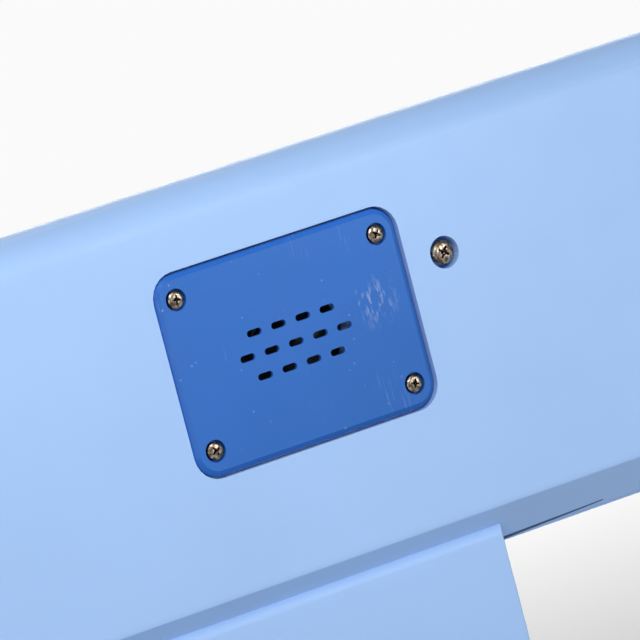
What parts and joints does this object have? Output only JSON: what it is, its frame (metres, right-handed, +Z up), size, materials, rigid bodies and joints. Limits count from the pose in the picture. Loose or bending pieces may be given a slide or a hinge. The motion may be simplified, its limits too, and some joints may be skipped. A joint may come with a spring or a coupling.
{
  "type": "parking pay station",
  "caption": "Cashless parking pay station head on a bolt-down neck: sloped panel with display, keypad, card and contactless readers, receipt printer door, rear speaker cover.",
  "frame": {"origin": "centre of the four mounting holes, on the underside of the base plate", "axes": "+X to the right as a customer faces the front panel, +Y to the rear, +Z up"},
  "size_m": [0.37, 0.133, 0.249],
  "materials": {
    "light_blue_plastic": "satin moulded, fine grain",
    "dark_blue_plastic": "satin moulded",
    "screw_steel": "nickel plated",
    "sheet_steel": "zinc plated",
    "painted_steel": "fine textured powder coat",
    "black_plastic": "moulded, fine grain",
    "black_rubber": "matt",
    "clear_window": "polished",
    "screen": "gloss",
    "light_lens": "frosted",
    "key_metal": "satin",
    "key_red": "satin",
    "key_green": "satin",
    "key_yellow": "satin",
    "silicone": "matt",
    "circuit_board": "solder mask",
    "magnet_steel": "black oxide",
    "cone_film": "translucent film",
    "flap_smoke": "smoked clear",
    "brass": "machined",
    "gear_plastic": "rubber sleeve on a steel shaft",
    "paper": "thermal paper"
  },
  "bodies": {
    "case": {"base_plate": "painted_steel", "cable_grommet": "black_rubber", "mast": "painted_steel", "mast_bolts": "screw_steel", "chassis": "sheet_steel", "chassis_screws": "screw_steel", "rear_housing": "light_blue_plastic", "front_housing": "light_blue_plastic", "housing_gasket": "black_rubber", "case_screws": "screw_steel", "speaker_cover": "dark_blue_plastic", "cover_screws": "screw_steel", "speaker_gasket": "black_rubber", "speaker_basket": "sheet_steel", "speaker_magnet": "magnet_steel", "speaker_cone": "cone_film", "display_window": "clear_window", "display_panel": "screen", "display_bracket": "sheet_steel", "display_screws": "screw_steel", "status_lens": "light_lens", "status_board": "circuit_board", "keypad_frame": "sheet_steel", "keypad_mat": "silicone", "keypad_board": "circuit_board", "reader_cover": "black_plastic", "reader_antenna": "circuit_board", "scanner_window": "clear_window", "scanner_module": "black_plastic", "card_bezel": "black_plastic", "card_reader": "painted_steel", "card_bracket": "sheet_steel", "help_bezel": "black_plastic", "help_switch": "black_plastic", "door_pin": "screw_steel", "printer_frame": "sheet_steel", "print_head": "sheet_steel", "feed_motor": "painted_steel", "electronics": "circuit_board"},
    "key_1": {"key_1": "key_metal"},
    "key_2": {"key_2": "key_metal"},
    "key_3": {"key_3": "key_metal"},
    "key_4": {"key_4": "key_metal"},
    "key_5": {"key_5": "key_metal"},
    "key_6": {"key_6": "key_metal"},
    "key_7": {"key_7": "key_metal"},
    "key_8": {"key_8": "key_metal"},
    "key_9": {"key_9": "key_metal"},
    "key_cancel": {"key_cancel": "key_red"},
    "key_0": {"key_0": "key_metal"},
    "key_enter": {"key_enter": "key_green"},
    "help_button": {"help_button": "key_yellow"},
    "printer_door": {"printer_door": "light_blue_plastic", "receipt_bezel": "black_plastic", "lock_body": "screw_steel"},
    "receipt_flap": {"receipt_flap": "flap_smoke"},
    "lock_barrel": {"lock_barrel": "brass"},
    "platen_roller": {"platen_roller": "gear_plastic"},
    "motor_pinion": {"motor_pinion": "brass"},
    "paper_roll": {"paper_roll": "paper"}
  },
  "joints": [
    {"name": "key_1_press", "type": "slide", "parent": "case", "child": "key_1", "axis": [0, 0.9272, -0.3746], "range_m": [0, 0.0012], "stiffness_N_per_m": 600, "springref_m": -0.0004},
    {"name": "key_2_press", "type": "slide", "parent": "case", "child": "key_2", "axis": [0, 0.9272, -0.3746], "range_m": [0, 0.0012], "stiffness_N_per_m": 600, "springref_m": -0.0004},
    {"name": "key_3_press", "type": "slide", "parent": "case", "child": "key_3", "axis": [0, 0.9272, -0.3746], "range_m": [0, 0.0012], "stiffness_N_per_m": 600, "springref_m": -0.0004},
    {"name": "key_4_press", "type": "slide", "parent": "case", "child": "key_4", "axis": [0, 0.9272, -0.3746], "range_m": [0, 0.0012], "stiffness_N_per_m": 600, "springref_m": -0.0004},
    {"name": "key_5_press", "type": "slide", "parent": "case", "child": "key_5", "axis": [0, 0.9272, -0.3746], "range_m": [0, 0.0012], "stiffness_N_per_m": 600, "springref_m": -0.0004},
    {"name": "key_6_press", "type": "slide", "parent": "case", "child": "key_6", "axis": [0, 0.9272, -0.3746], "range_m": [0, 0.0012], "stiffness_N_per_m": 600, "springref_m": -0.0004},
    {"name": "key_7_press", "type": "slide", "parent": "case", "child": "key_7", "axis": [0, 0.9272, -0.3746], "range_m": [0, 0.0012], "stiffness_N_per_m": 600, "springref_m": -0.0004},
    {"name": "key_8_press", "type": "slide", "parent": "case", "child": "key_8", "axis": [0, 0.9272, -0.3746], "range_m": [0, 0.0012], "stiffness_N_per_m": 600, "springref_m": -0.0004},
    {"name": "key_9_press", "type": "slide", "parent": "case", "child": "key_9", "axis": [0, 0.9272, -0.3746], "range_m": [0, 0.0012], "stiffness_N_per_m": 600, "springref_m": -0.0004},
    {"name": "key_cancel_press", "type": "slide", "parent": "case", "child": "key_cancel", "axis": [0, 0.9272, -0.3746], "range_m": [0, 0.0012], "stiffness_N_per_m": 600, "springref_m": -0.0004},
    {"name": "key_0_press", "type": "slide", "parent": "case", "child": "key_0", "axis": [0, 0.9272, -0.3746], "range_m": [0, 0.0012], "stiffness_N_per_m": 600, "springref_m": -0.0004},
    {"name": "key_enter_press", "type": "slide", "parent": "case", "child": "key_enter", "axis": [0, 0.9272, -0.3746], "range_m": [0, 0.0012], "stiffness_N_per_m": 600, "springref_m": -0.0004},
    {"name": "help_button_press", "type": "slide", "parent": "case", "child": "help_button", "axis": [0, 0.9272, -0.3746], "range_m": [0, 0.002], "stiffness_N_per_m": 800, "springref_m": -0.0005},
    {"name": "printer_door_hinge", "type": "hinge", "parent": "case", "child": "printer_door", "pos_m": [0.135, -0.05735, 0.13693], "axis": [1, 0, 0], "range_deg": [0, 90]},
    {"name": "receipt_flap_hinge", "type": "hinge", "parent": "printer_door", "child": "receipt_flap", "pos_m": [0.135, -0.03647, 0.20636], "axis": [-1, 0, 0], "range_deg": [0, 75]},
    {"name": "lock_turn", "type": "hinge", "parent": "printer_door", "child": "lock_barrel", "pos_m": [0.163, -0.02717, 0.21965], "axis": [0, -0.9272, 0.3746], "range_deg": [-90, 0]},
    {"name": "platen_turn", "type": "hinge", "parent": "case", "child": "platen_roller", "pos_m": [0.135, -0.008, 0.203], "axis": [1, 0, 0], "continuous": true},
    {"name": "pinion_turn", "type": "hinge", "parent": "case", "child": "motor_pinion", "pos_m": [0.098, -0.00077, 0.19049], "axis": [1, 0, 0], "continuous": true},
    {"name": "paper_roll_turn", "type": "hinge", "parent": "case", "child": "paper_roll", "pos_m": [0.135, -0.012, 0.157], "axis": [1, 0, 0], "continuous": true}
  ],
  "couplings": [
    {"joint": "pinion_turn", "follows": "platen_turn", "ratio": -2}
  ]
}
